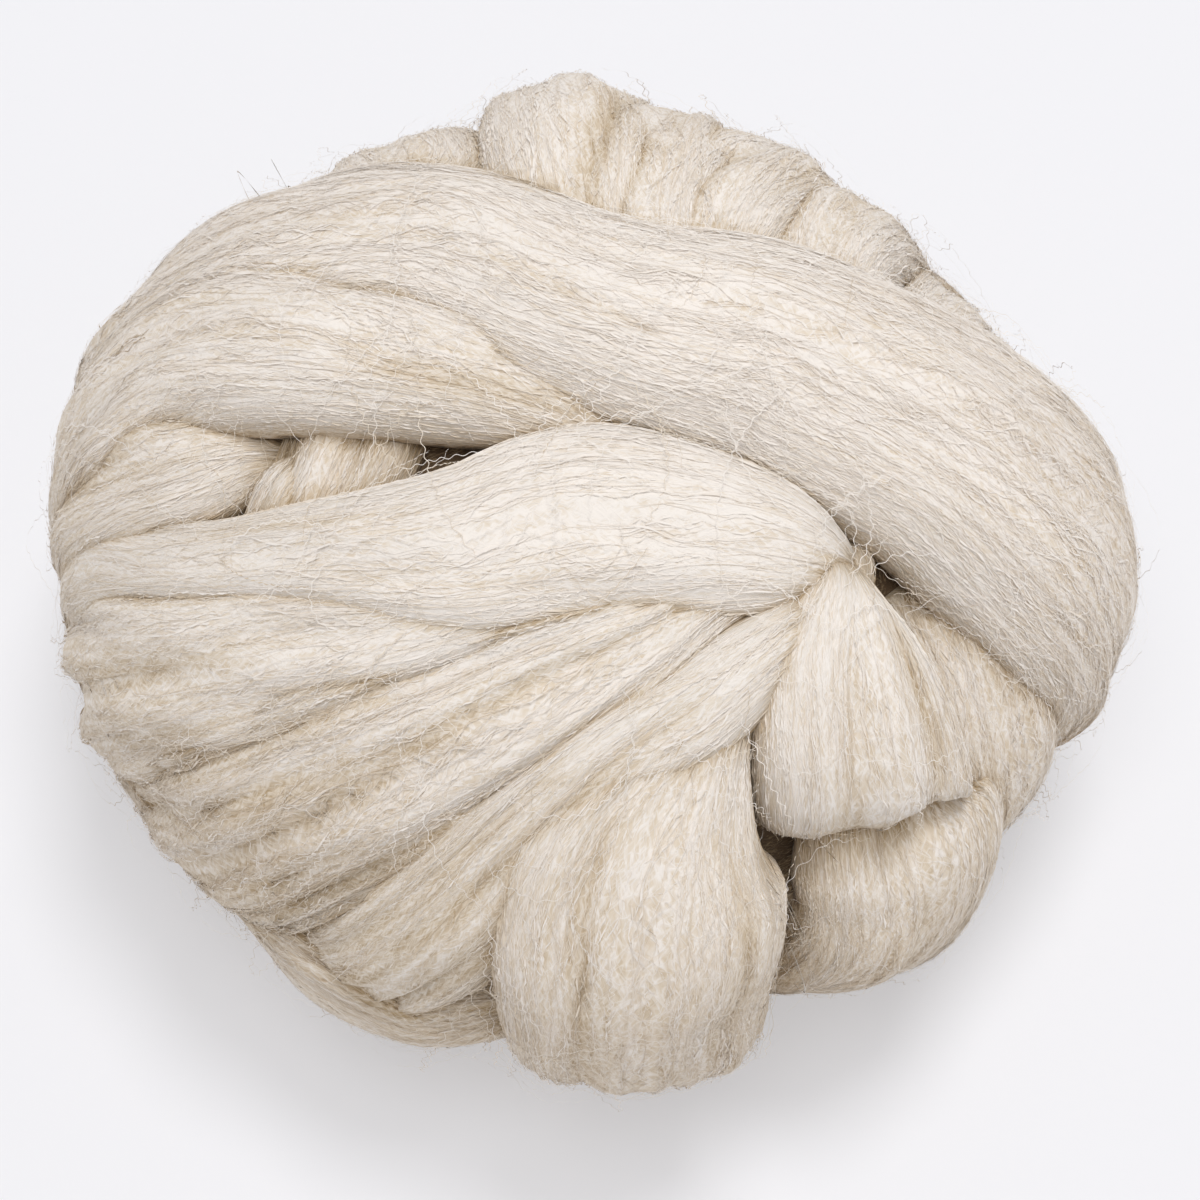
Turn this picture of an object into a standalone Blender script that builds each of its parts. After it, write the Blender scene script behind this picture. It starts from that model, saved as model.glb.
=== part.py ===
"""A ball of wool roving: one long soft rope of combed wool, wound by hand over itself.

It is a single solid. A slightly squashed core is wrapped by broad flattened laps, each one a
loft along a short table of sections, and the whole is fused, softened and set on a small flat spot.
Metres, +Z up. The origin is on the surface the ball rests on, at the middle of its outline.
"""

import math

import bmesh
import bpy
from mathutils import Vector

MM = 0.001

# Driving dimensions
CORE = (90 * MM, 78 * MM, 68 * MM)  # half sizes of the wound core, along X, Y and Z
CORE_AT = (-0.7 * MM, 6.25 * MM, 62 * MM)  # the core's middle, low enough for a flat spot
STEP = 6 * MM  # spacing of the sections lofted along a lap
AROUND = 20  # points around one section
SQUARENESS = 2.5  # 2 is a plain ellipse, more is flatter on top
VOXEL = 3 * MM  # grid on which the laps are fused
SOFTEN = 4  # passes of smoothing after fusing
FACES_KEPT = 0.25  # share of the fused faces that the solid keeps
WOOL = (0.80, 0.72, 0.61, 1.0)

# Each lap is a row for each section along it:
#   turn   direction from the ball's middle, degrees round from +X towards +Y
#   rise   degrees above the ball's waist
#   wide   width of the roving there, mm
#   lift   height of its crown above the core, mm
#   thick  thickness of the roving there, mm
COLUMNS = ("turn", "rise", "wide", "lift", "thick")

LAPS = {
    # Low turns that close the sides and the underside, all the way round.
    "under_belt": [
        (0, -30, 56, 8, 20),
        (60, -26, 60, 9, 20),
        (120, -30, 56, 9, 20),
        (180, -28, 58, 10, 20),
        (240, -30, 56, 9, 20),
        (300, -27, 56, 7, 18),
    ],
    "waist_belt": [
        (0, 4, 50, 9, 18),
        (60, 8, 48, 9, 18),
        (120, 4, 52, 12, 20),
        (180, -2, 54, 13, 20),
        (240, -4, 50, 11, 20),
        (300, -2, 46, 8, 16),
    ],
    # Laps that cross from front to rear and stand up as bumps behind the crown.
    "rear_left": [
        (-138, 30, 30, 0, 14),
        (-152, 50, 28, 5, 14),
        (-175, 62, 28, 8, 16),
        (160, 64, 30, 9, 16),
        (132, 56, 36, 13, 20),
        (118, 44, 38, 17, 24),
        (115, 32, 38, 18, 26),
        (113, 18, 38, 16, 24),
        (112, 2, 40, 14, 22),
        (110, -24, 38, 10, 18),
        (106, -50, 36, 4, 14),
    ],
    "rear_middle": [
        (90, 78, 20, 6, 14),
        (91, 69, 24, 15, 22),
        (92, 59, 30, 21, 30),
        (92, 47, 34, 24, 36),
        (92, 32, 35, 24, 36),
        (92, 10, 36, 19, 30),
        (91, -18, 38, 12, 22),
        (90, -44, 36, 4, 16),
    ],
    "rear_middle_fold": [
        (66, 78, 20, 6, 14),
        (73, 69, 23, 15, 22),
        (78, 59, 27, 18, 28),
        (79, 46, 30, 20, 30),
        (80, 30, 32, 19, 30),
        (80, 6, 34, 15, 26),
        (79, -20, 34, 11, 20),
        (76, -44, 32, 4, 16),
    ],
    "rear_right": [
        (50, 72, 18, 5, 14),
        (60, 64, 24, 14, 20),
        (65, 54, 30, 18, 26),
        (66, 42, 34, 18, 30),
        (66, 26, 36, 17, 28),
        (66, 2, 38, 13, 24),
        (65, -22, 38, 10, 20),
        (64, -46, 34, 4, 16),
    ],
    "rear_right_fold": [
        (28, 64, 20, 4, 12),
        (40, 55, 24, 11, 18),
        (47, 47, 28, 15, 22),
        (51, 36, 32, 15, 24),
        (53, 20, 34, 13, 22),
        (53, 0, 36, 12, 20),
        (51, -24, 34, 9, 18),
        (48, -46, 32, 4, 14),
    ],
    "rear_far_right": [
        (12, 50, 16, 1, 12),
        (20, 45, 19, 5, 16),
        (26, 39, 21, 7, 18),
        (32, 26, 26, 9, 20),
        (36, 8, 34, 11, 20),
        (36, -14, 38, 10, 20),
        (34, -40, 36, 5, 14),
    ],
    "left_side": [
        (146, 30, 30, 4, 14),
        (146, 12, 40, 13, 20),
        (148, -8, 44, 14, 20),
        (150, -32, 40, 9, 16),
    ],
    # The front laps: a broad one hanging down the middle, two to its right and one low on the left.
    "front_left_low": [
        (-80, 0, 22, 2, 14),
        (-88, -3, 26, 8, 18),
        (-97, -6, 30, 15, 24),
        (-107, -7, 34, 21, 28),
        (-118, -6, 36, 20, 28),
        (-132, -12, 36, 13, 20),
        (-148, -24, 34, 7, 16),
    ],
    "far_right_lap": [
        (-20, 42, 30, 4, 14),
        (-27, 30, 40, 11, 18),
        (-32, 18, 44, 14, 22),
        (-35, 6, 42, 13, 20),
        (-39, -10, 36, 10, 18),
        (-42, -34, 34, 5, 14),
    ],
    "turned_under_lap": [
        (-46, 28, 30, 4, 12),
        (-49, 23, 38, 14, 20),
        (-50, 17, 43, 19, 26),
        (-52, 9, 42, 21, 30),
        (-56, 1, 38, 22, 30),
        (-62, -8, 31, 17, 24),
        (-69, -19, 26, 8, 16),
        (-75, -33, 24, 2, 12),
    ],
    "front_middle": [
        (-54, 56, 8, 9, 10),
        (-62, 52, 11, 13, 14),
        (-71, 47, 18, 17, 20),
        (-77, 41, 29, 20, 24),
        (-81, 35, 41, 24, 30),
        (-83, 29, 49, 27, 36),
        (-84, 21, 50, 30, 40),
        (-85, 12, 46, 31, 42),
        (-85, 1, 44, 30, 42),
        (-86, -10, 41, 24, 36),
        (-87, -26, 38, 13, 24),
        (-87, -44, 34, 4, 14),
    ],
    "front_right": [
        (-30, 57, 6, 4, 8),
        (-34, 55, 9, 12, 12),
        (-38, 53, 13, 18, 16),
        (-42, 50, 22, 21, 22),
        (-46.5, 45, 31, 23, 28),
        (-50.5, 38, 37, 24, 30),
        (-52.5, 33, 38, 24, 32),
        (-53.5, 29, 38, 21, 30),
        (-53.5, 25, 36, 13, 24),
        (-53.5, 22, 30, 3, 14),
    ],
    # The fan that spreads from the pinch to the lower left, in two broad folds, and a narrower one above.
    "fan": [
        (-44, 58, 8, 13, 12),
        (-60, 61, 14, 15, 16),
        (-80, 58, 24, 17, 20),
        (-99, 51, 38, 18, 24),
        (-114, 40, 46, 18, 26),
        (-125, 27, 51, 18, 28),
        (-134, 11, 53, 17, 28),
        (-143, -5, 51, 14, 24),
        (-152, -22, 46, 10, 18),
        (-162, -40, 38, 4, 14),
    ],
    "fan_lower_fold": [
        (-22, 56, 5, 2, 8),
        (-30, 53, 7, 9, 10),
        (-40, 52, 8, 15, 14),
        (-54, 53, 13, 18, 18),
        (-70, 50, 18, 19, 22),
        (-86, 44, 21, 20, 26),
        (-97, 33, 25, 21, 30),
        (-105, 20, 28, 22, 32),
        (-112, 6, 29, 20, 30),
        (-120, -8, 29, 14, 24),
        (-130, -24, 30, 8, 18),
    ],
    "fan_upper_fold": [
        (-62, 63, 6, 12, 10),
        (-97, 63, 8, 16, 14),
        (-119, 57, 16, 17, 20),
        (-136, 46, 27, 17, 24),
        (-148, 32, 34, 17, 26),
        (-158, 14, 40, 16, 24),
        (-166, -6, 40, 14, 22),
        (-174, -28, 36, 9, 18),
    ],
    # A low turn seen only at the bottom of the pocket between the crown and the middle lap.
    "pocket_turn": [
        (-150, 42, 16, 0, 8),
        (-160, 50, 19, 6, 12),
        (-168, 56, 18, 7, 14),
        (-174, 59, 13, 1, 10),
        (-178, 61, 7, -7, 8),
    ],
    # The left side's small fold, tucked between the crown and the middle lap.
    "tucked_fold": [
        (-178, -18, 26, 9, 16),
        (178, -2, 28, 14, 20),
        (177, 14, 30, 17, 22),
        (178, 29, 32, 17, 22),
        (180, 43, 26, 14, 20),
        (180, 50, 15, 8, 14),
        (-179, 55, 6, 0, 8),
    ],
    # The bright middle lap, from the left side to the pinch.
    "middle": [
        (-176, -12, 24, 11, 18),
        (-176, 4, 24, 14, 20),
        (-172, 20, 20, 15, 20),
        (-165, 33, 16, 15, 20),
        (-158, 43, 17, 16, 22),
        (-151, 51, 20, 17, 24),
        (-139, 59.6, 24, 19, 26),
        (-122, 66.3, 30.5, 20, 28),
        (-104, 71.1, 35, 20, 28),
        (-82, 72.3, 36.5, 20, 28),
        (-56, 68.6, 30, 20, 26),
        (-42, 62, 23, 18, 20),
        (-36, 56, 13, 14, 12),
        (-32, 51, 5, 6, 8),
    ],
    # The crown: its flatter left half passes under the broad right half.
    "crown_left": [
        (176, -20, 36, 8, 18),
        (171, -2, 40, 16, 22),
        (166, 18, 42, 20, 26),
        (161, 40, 36, 21, 28),
        (161.5, 58.6, 32, 21, 26),
        (165.5, 74.4, 26, 19, 24),
        (-171, 85.4, 19, 17, 20),
        (-62, 85, 12, 14, 16),
        (-28, 77, 7, 8, 10),
        (-23, 70, 6, 3, 8),
    ],
    "crown_right": [
        (166, -16, 36, 8, 18),
        (161, 2, 42, 17, 22),
        (156, 18, 46, 21, 26),
        (148, 34, 48, 21, 28),
        (138, 51, 48, 21, 28),
        (124, 64, 42, 21, 28),
        (100, 77, 38, 22, 28),
        (42, 78, 41, 23, 28),
        (19, 69, 46, 22, 30),
        (8, 60, 49, 21, 30),
        (2, 50, 52, 21, 30),
        (-4, 37, 55, 22, 32),
        (-8, 22, 53, 22, 32),
        (-11, 5, 46, 18, 26),
        (-15, -14, 38, 9, 18),
        (-20, -38, 34, 4, 14),
    ],
}
CLOSED = ("under_belt", "waist_belt")  # laps that run right round and join themselves
SLANT = {"front_right": -20}  # degrees a lap's sections are set askew; minus, its right edge leads

# Half size and depth of the block that trims the ball's flat spot
TRIM = 0.2
TRIM_DEPTH = 0.05


def collection(name):
    made = bpy.data.collections.new(name)
    bpy.context.scene.collection.children.link(made)
    return made


def link(name, mesh, home):
    obj = bpy.data.objects.new(name, mesh)
    home.objects.link(obj)
    return obj


def wool():
    """Pale undyed wool, soft and dull."""
    mat = bpy.data.materials.new("wool")
    mat.use_nodes = True
    shader = mat.node_tree.nodes["Principled BSDF"]
    shader.inputs["Base Color"].default_value = WOOL
    shader.inputs["Roughness"].default_value = 0.9
    shader.inputs["Metallic"].default_value = 0.0
    return mat


def on_core(point):
    """The point of the core's surface in the direction of `point`, from the core's middle."""
    unit = Vector(p / half for p, half in zip(point, CORE)).normalized()
    return Vector(u * half for u, half in zip(unit, CORE))


def out_of_core(point):
    """The core's outward normal at a point of its surface."""
    return Vector(p / half**2 for p, half in zip(point, CORE)).normalized()


def towards(turn, rise):
    a, b = math.radians(turn), math.radians(rise)
    return Vector((math.cos(a) * math.cos(b), math.sin(a) * math.cos(b), math.sin(b)))


def blend(p0, p1, p2, p3, t):
    """Catmull-Rom curve between p1 and p2."""
    return 0.5 * (
        2 * p1
        + (p2 - p0) * t
        + (2 * p0 - 5 * p1 + 4 * p2 - p3) * t * t
        + (3 * p1 - p0 - 3 * p2 + p3) * t**3
    )


def stations(rows, closed):
    """Sections every STEP or so along a lap: place on the core, width, lift and thickness."""
    places = [Vector(d * half for d, half in zip(towards(r[0], r[1]), CORE)) for r in rows]
    sizes = [Vector(r[2:]) * MM for r in rows]
    count = len(rows)

    def pick(items, i):
        return items[i % count] if closed else items[min(max(i, 0), count - 1)]

    found = []
    for i in range(count if closed else count - 1):
        steps = max(2, round((pick(places, i + 1) - places[i]).length / STEP))
        for k in range(steps):
            place, size = (blend(*(pick(x, i + j) for j in (-1, 0, 1, 2)), k / steps) for x in (places, sizes))
            found.append((on_core(place), *size))
    if not closed:
        found.append((on_core(places[-1]), *sizes[-1]))
    return found


def power(value):
    return math.copysign(abs(value) ** (2 / SQUARENESS), value)


def add_lap(bm, rows, closed, slant):
    """A flattened tube that lies on the core, its middle line through the table's directions."""
    path = stations(rows, closed)
    rings = []
    for i, (place, wide, lift, thick) in enumerate(path):
        before = path[i - 1][0] if closed or i else place
        after = path[(i + 1) % len(path)][0] if closed or i + 1 < len(path) else place
        ahead = (after - before).normalized()
        side = ahead.cross(out_of_core(place)).normalized() + ahead * math.tan(math.radians(slant))
        ring = []
        for k in range(AROUND):
            angle = math.tau * k / AROUND
            spot = on_core(place + side * power(math.cos(angle)) * wide / 2)
            height = lift - thick / 2 + power(math.sin(angle)) * thick / 2
            ring.append(bm.verts.new(spot + out_of_core(spot) * height))
        rings.append(ring)
    for i in range(len(rings) if closed else len(rings) - 1):
        one, two = rings[i], rings[(i + 1) % len(rings)]
        for k in range(AROUND):
            n = (k + 1) % AROUND
            bm.faces.new((one[k], one[n], two[n], two[k]))
    if not closed:
        bm.faces.new(list(reversed(rings[0])))
        bm.faces.new(rings[-1])


for old in list(bpy.data.objects):
    bpy.data.objects.remove(old, do_unlink=True)

parts = collection("wool_roving_ball")
guides = collection("cutters")

# The core and all its laps, overlapping, then fused into one skin.
bm = bmesh.new()
bmesh.ops.create_icosphere(bm, subdivisions=5, radius=1.0)
bmesh.ops.scale(bm, vec=CORE, verts=bm.verts)
for lap, rows in LAPS.items():
    add_lap(bm, rows, lap in CLOSED, SLANT.get(lap, 0))
bmesh.ops.recalc_face_normals(bm, faces=bm.faces)
bmesh.ops.translate(bm, vec=CORE_AT, verts=bm.verts)
mesh = bpy.data.meshes.new("roving_ball")
bm.to_mesh(mesh)
bm.free()
ball = link("roving_ball", mesh, parts)
ball.data.materials.append(wool())

fuse = ball.modifiers.new("fuse", "REMESH")
fuse.mode = "VOXEL"
fuse.voxel_size = VOXEL
fuse.use_smooth_shade = True
soften = ball.modifiers.new("soften", "SMOOTH")
soften.iterations = SOFTEN
thin = ball.modifiers.new("thin", "DECIMATE")
thin.ratio = FACES_KEPT

# The flat spot: everything below the surface is trimmed away.
bm = bmesh.new()
bmesh.ops.create_cube(bm, size=1.0)
bmesh.ops.scale(bm, vec=(TRIM * 2, TRIM * 2, TRIM_DEPTH), verts=bm.verts)
bmesh.ops.translate(bm, vec=(0, 0, -TRIM_DEPTH / 2), verts=bm.verts)
mesh = bpy.data.meshes.new("floor_trim")
bm.to_mesh(mesh)
bm.free()
trim = link("floor_trim", mesh, guides)
trim.hide_render = True
trim.display_type = "WIRE"
flat = ball.modifiers.new("flat_spot", "BOOLEAN")
flat.operation = "DIFFERENCE"
flat.object = trim
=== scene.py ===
import math

import bmesh
import bpy
import numpy as np
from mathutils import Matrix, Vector
from mathutils.bvhtree import BVHTree


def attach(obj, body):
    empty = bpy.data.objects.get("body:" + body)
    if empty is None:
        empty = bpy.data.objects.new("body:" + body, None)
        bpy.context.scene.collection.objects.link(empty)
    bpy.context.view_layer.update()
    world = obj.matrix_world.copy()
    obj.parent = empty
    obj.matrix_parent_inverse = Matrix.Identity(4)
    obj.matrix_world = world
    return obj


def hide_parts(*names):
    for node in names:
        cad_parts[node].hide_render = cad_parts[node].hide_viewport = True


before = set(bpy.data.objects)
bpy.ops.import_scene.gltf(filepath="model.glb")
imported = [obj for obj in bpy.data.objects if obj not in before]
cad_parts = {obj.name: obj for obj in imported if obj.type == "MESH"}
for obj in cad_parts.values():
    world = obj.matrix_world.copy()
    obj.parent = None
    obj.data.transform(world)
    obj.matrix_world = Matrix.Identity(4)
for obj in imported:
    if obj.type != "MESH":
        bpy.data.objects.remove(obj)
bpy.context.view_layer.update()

# The camera looks down on the ball from its front, high enough to see over the crown. The lens is
# long, so the ball's outline is hardly stretched, and nothing is out of focus.
TARGET = Vector((0.0023, -0.0018, 0.068))
RAISED = math.radians(65)
FRAME_WIDTH = 0.238
camera_data = bpy.data.cameras.new("camera")
camera_data.lens = 100
camera_data.sensor_width = 36
camera_data.clip_start = 0.05
camera = bpy.data.objects.new("camera", camera_data)
distance = FRAME_WIDTH * camera_data.lens / camera_data.sensor_width
camera.location = TARGET + distance * Vector((0, -math.cos(RAISED), math.sin(RAISED)))
camera.rotation_euler = (math.pi / 2 - RAISED, 0, 0)
bpy.context.collection.objects.link(camera)
bpy.context.scene.camera = camera

# The ball lies on a broad matt white table top that glows a little, as a light table does. Two large
# soft lamps hang high above it, one behind and one in front, and a white room, brighter low down than
# overhead, lights the rest.
FLOOR_HALF = 2.0
bm = bmesh.new()
bmesh.ops.create_grid(bm, x_segments=1, y_segments=1, size=FLOOR_HALF)
floor_mesh = bpy.data.meshes.new("table_top")
bm.to_mesh(floor_mesh)
bm.free()
floor = bpy.data.objects.new("table_top", floor_mesh)
bpy.context.collection.objects.link(floor)
white = bpy.data.materials.new("matt white")
white.use_nodes = True
shader = white.node_tree.nodes["Principled BSDF"]
shader.inputs["Base Color"].default_value = (0.57, 0.57, 0.59, 1)
shader.inputs["Emission Color"].default_value = (1.0, 1.0, 1.03, 1)
shader.inputs["Emission Strength"].default_value = 0.3
shader.inputs["Roughness"].default_value = 0.7
shader.inputs["Specular IOR Level"].default_value = 0.2
floor_mesh.materials.append(white)


def soft_lamp(name, place, size, watts):
    data = bpy.data.lights.new(name, "AREA")
    data.shape = "DISK"
    data.size = size
    data.energy = watts
    lamp = bpy.data.objects.new(name, data)
    lamp.location = place
    lamp.rotation_euler = (TARGET - Vector(place)).to_track_quat("-Z", "Y").to_euler()
    bpy.context.collection.objects.link(lamp)


soft_lamp("window", (0.3, 0.35, 2.6), 0.8, 26)
soft_lamp("fill", (-0.15, -0.55, 2.6), 1.2, 20)
room = bpy.data.worlds.new("white room")
room.use_nodes = True
backdrop = room.node_tree.nodes["Background"]
backdrop.inputs["Color"].default_value = (1.0, 0.995, 1.0, 1)
ways = room.node_tree.nodes.new("ShaderNodeTexCoord")
toward = room.node_tree.nodes.new("ShaderNodeVectorMath")
toward.operation = "DOT_PRODUCT"
toward.inputs[1].default_value = Vector((-0.1, -0.05, 0.99)).normalized()
brighter = room.node_tree.nodes.new("ShaderNodeMapRange")
brighter.interpolation_type = "SMOOTHSTEP"
brighter.inputs["From Min"].default_value = -0.2
brighter.inputs["From Max"].default_value = 0.9
brighter.inputs["To Min"].default_value = 0.82
brighter.inputs["To Max"].default_value = 0.34
room.node_tree.links.new(ways.outputs["Generated"], toward.inputs[0])
room.node_tree.links.new(toward.outputs["Value"], brighter.inputs["Value"])
room.node_tree.links.new(brighter.outputs["Result"], backdrop.inputs["Strength"])
bpy.context.scene.world = room
bpy.context.scene.view_settings.view_transform = "Standard"

# The roving itself: one long rope of combed wool wound over itself. Each lap is a broad flattened
# tube laid on the core by a short table, a row for each section along it:
#   turn, rise   direction from the ball's middle, degrees round from +X and above the waist
#   wide, lift, thick   width there, height of the crown above the core, and thickness, mm
MM = 0.001
CORE = np.array((90, 78, 68)) * MM
CORE_AT = np.array((-0.7, 6.25, 62)) * MM
SQUARENESS = 2.5
STATION = 2 * MM
LAPS = {
    # Low turns that close the sides and the underside, all the way round.
    "under_belt": [
        (0, -30, 56, 8, 20),
        (60, -26, 60, 9, 20),
        (120, -30, 56, 9, 20),
        (180, -28, 58, 10, 20),
        (240, -30, 56, 9, 20),
        (300, -27, 56, 7, 18),
    ],
    "waist_belt": [
        (0, 4, 50, 9, 18),
        (60, 8, 48, 9, 18),
        (120, 4, 52, 12, 20),
        (180, -2, 54, 13, 20),
        (240, -4, 50, 11, 20),
        (300, -2, 46, 8, 16),
    ],
    # Laps that cross from front to rear and stand up as bumps behind the crown.
    "rear_left": [
        (-138, 30, 30, 0, 14),
        (-152, 50, 28, 5, 14),
        (-175, 62, 28, 8, 16),
        (160, 64, 30, 9, 16),
        (132, 56, 36, 13, 20),
        (118, 44, 38, 17, 24),
        (115, 32, 38, 18, 26),
        (113, 18, 38, 16, 24),
        (112, 2, 40, 14, 22),
        (110, -24, 38, 10, 18),
        (106, -50, 36, 4, 14),
    ],
    "rear_middle": [
        (90, 78, 20, 6, 14),
        (91, 69, 24, 15, 22),
        (92, 59, 30, 21, 30),
        (92, 47, 34, 24, 36),
        (92, 32, 35, 24, 36),
        (92, 10, 36, 19, 30),
        (91, -18, 38, 12, 22),
        (90, -44, 36, 4, 16),
    ],
    "rear_middle_fold": [
        (66, 78, 20, 6, 14),
        (73, 69, 23, 15, 22),
        (78, 59, 27, 18, 28),
        (79, 46, 30, 20, 30),
        (80, 30, 32, 19, 30),
        (80, 6, 34, 15, 26),
        (79, -20, 34, 11, 20),
        (76, -44, 32, 4, 16),
    ],
    "rear_right": [
        (50, 72, 18, 5, 14),
        (60, 64, 24, 14, 20),
        (65, 54, 30, 18, 26),
        (66, 42, 34, 18, 30),
        (66, 26, 36, 17, 28),
        (66, 2, 38, 13, 24),
        (65, -22, 38, 10, 20),
        (64, -46, 34, 4, 16),
    ],
    "rear_right_fold": [
        (28, 64, 20, 4, 12),
        (40, 55, 24, 11, 18),
        (47, 47, 28, 15, 22),
        (51, 36, 32, 15, 24),
        (53, 20, 34, 13, 22),
        (53, 0, 36, 12, 20),
        (51, -24, 34, 9, 18),
        (48, -46, 32, 4, 14),
    ],
    "rear_far_right": [
        (12, 50, 16, 1, 12),
        (20, 45, 19, 5, 16),
        (26, 39, 21, 7, 18),
        (32, 26, 26, 9, 20),
        (36, 8, 34, 11, 20),
        (36, -14, 38, 10, 20),
        (34, -40, 36, 5, 14),
    ],
    "left_side": [
        (146, 30, 30, 4, 14),
        (146, 12, 40, 13, 20),
        (148, -8, 44, 14, 20),
        (150, -32, 40, 9, 16),
    ],
    # The front laps: a broad one hanging down the middle, two to its right and one low on the left.
    "front_left_low": [
        (-80, 0, 22, 2, 14),
        (-88, -3, 26, 8, 18),
        (-97, -6, 30, 15, 24),
        (-107, -7, 34, 21, 28),
        (-118, -6, 36, 20, 28),
        (-132, -12, 36, 13, 20),
        (-148, -24, 34, 7, 16),
    ],
    "far_right_lap": [
        (-20, 42, 30, 4, 14),
        (-27, 30, 40, 11, 18),
        (-32, 18, 44, 14, 22),
        (-35, 6, 42, 13, 20),
        (-39, -10, 36, 10, 18),
        (-42, -34, 34, 5, 14),
    ],
    "turned_under_lap": [
        (-46, 28, 30, 4, 12),
        (-49, 23, 38, 14, 20),
        (-50, 17, 43, 19, 26),
        (-52, 9, 42, 21, 30),
        (-56, 1, 38, 22, 30),
        (-62, -8, 31, 17, 24),
        (-69, -19, 26, 8, 16),
        (-75, -33, 24, 2, 12),
    ],
    "front_middle": [
        (-54, 56, 8, 9, 10),
        (-62, 52, 11, 13, 14),
        (-71, 47, 18, 17, 20),
        (-77, 41, 29, 20, 24),
        (-81, 35, 41, 24, 30),
        (-83, 29, 49, 27, 36),
        (-84, 21, 50, 30, 40),
        (-85, 12, 46, 31, 42),
        (-85, 1, 44, 30, 42),
        (-86, -10, 41, 24, 36),
        (-87, -26, 38, 13, 24),
        (-87, -44, 34, 4, 14),
    ],
    "front_right": [
        (-30, 57, 6, 4, 8),
        (-34, 55, 9, 12, 12),
        (-38, 53, 13, 18, 16),
        (-42, 50, 22, 21, 22),
        (-46.5, 45, 31, 23, 28),
        (-50.5, 38, 37, 24, 30),
        (-52.5, 33, 38, 24, 32),
        (-53.5, 29, 38, 21, 30),
        (-53.5, 25, 36, 13, 24),
        (-53.5, 22, 30, 3, 14),
    ],
    # The fan that spreads from the pinch to the lower left, in two broad folds, and a narrower one above.
    "fan": [
        (-44, 58, 8, 13, 12),
        (-60, 61, 14, 15, 16),
        (-80, 58, 24, 17, 20),
        (-99, 51, 38, 18, 24),
        (-114, 40, 46, 18, 26),
        (-125, 27, 51, 18, 28),
        (-134, 11, 53, 17, 28),
        (-143, -5, 51, 14, 24),
        (-152, -22, 46, 10, 18),
        (-162, -40, 38, 4, 14),
    ],
    "fan_lower_fold": [
        (-22, 56, 5, 2, 8),
        (-30, 53, 7, 9, 10),
        (-40, 52, 8, 15, 14),
        (-54, 53, 13, 18, 18),
        (-70, 50, 18, 19, 22),
        (-86, 44, 21, 20, 26),
        (-97, 33, 25, 21, 30),
        (-105, 20, 28, 22, 32),
        (-112, 6, 29, 20, 30),
        (-120, -8, 29, 14, 24),
        (-130, -24, 30, 8, 18),
    ],
    "fan_upper_fold": [
        (-62, 63, 6, 12, 10),
        (-97, 63, 8, 16, 14),
        (-119, 57, 16, 17, 20),
        (-136, 46, 27, 17, 24),
        (-148, 32, 34, 17, 26),
        (-158, 14, 40, 16, 24),
        (-166, -6, 40, 14, 22),
        (-174, -28, 36, 9, 18),
    ],
    # A low turn seen only at the bottom of the pocket between the crown and the middle lap.
    "pocket_turn": [
        (-150, 42, 16, 0, 8),
        (-160, 50, 19, 6, 12),
        (-168, 56, 18, 7, 14),
        (-174, 59, 13, 1, 10),
        (-178, 61, 7, -7, 8),
    ],
    # The left side's small fold, tucked between the crown and the middle lap.
    "tucked_fold": [
        (-178, -18, 26, 9, 16),
        (178, -2, 28, 14, 20),
        (177, 14, 30, 17, 22),
        (178, 29, 32, 17, 22),
        (180, 43, 26, 14, 20),
        (180, 50, 15, 8, 14),
        (-179, 55, 6, 0, 8),
    ],
    # The bright middle lap, from the left side to the pinch.
    "middle": [
        (-176, -12, 24, 11, 18),
        (-176, 4, 24, 14, 20),
        (-172, 20, 20, 15, 20),
        (-165, 33, 16, 15, 20),
        (-158, 43, 17, 16, 22),
        (-151, 51, 20, 17, 24),
        (-139, 59.6, 24, 19, 26),
        (-122, 66.3, 30.5, 20, 28),
        (-104, 71.1, 35, 20, 28),
        (-82, 72.3, 36.5, 20, 28),
        (-56, 68.6, 30, 20, 26),
        (-42, 62, 23, 18, 20),
        (-36, 56, 13, 14, 12),
        (-32, 51, 5, 6, 8),
    ],
    # The crown: its flatter left half passes under the broad right half.
    "crown_left": [
        (176, -20, 36, 8, 18),
        (171, -2, 40, 16, 22),
        (166, 18, 42, 20, 26),
        (161, 40, 36, 21, 28),
        (161.5, 58.6, 32, 21, 26),
        (165.5, 74.4, 26, 19, 24),
        (-171, 85.4, 19, 17, 20),
        (-62, 85, 12, 14, 16),
        (-28, 77, 7, 8, 10),
        (-23, 70, 6, 3, 8),
    ],
    "crown_right": [
        (166, -16, 36, 8, 18),
        (161, 2, 42, 17, 22),
        (156, 18, 46, 21, 26),
        (148, 34, 48, 21, 28),
        (138, 51, 48, 21, 28),
        (124, 64, 42, 21, 28),
        (100, 77, 38, 22, 28),
        (42, 78, 41, 23, 28),
        (19, 69, 46, 22, 30),
        (8, 60, 49, 21, 30),
        (2, 50, 52, 21, 30),
        (-4, 37, 55, 22, 32),
        (-8, 22, 53, 22, 32),
        (-11, 5, 46, 18, 26),
        (-15, -14, 38, 9, 18),
        (-20, -38, 34, 4, 14),
    ],
}
# The belts go all the way round. A lap's cross-sections may be slanted, degrees; minus puts the edge
# at its right ahead.
CLOSED = ("under_belt", "waist_belt")
SLANT = {"front_right": -20}


def on_core(points):
    """The points moved straight out or in to the core's surface. All are from the ball's middle, m."""
    unit = points / CORE
    return unit / np.linalg.norm(unit, axis=-1, keepdims=True) * CORE


def out_of_core(points):
    normal = points / CORE**2
    return normal / np.linalg.norm(normal, axis=-1, keepdims=True)


def power(value):
    """Squares off a sine or cosine, so that a section is fuller than an ellipse."""
    return np.sign(value) * np.abs(value) ** (2 / SQUARENESS)


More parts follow.
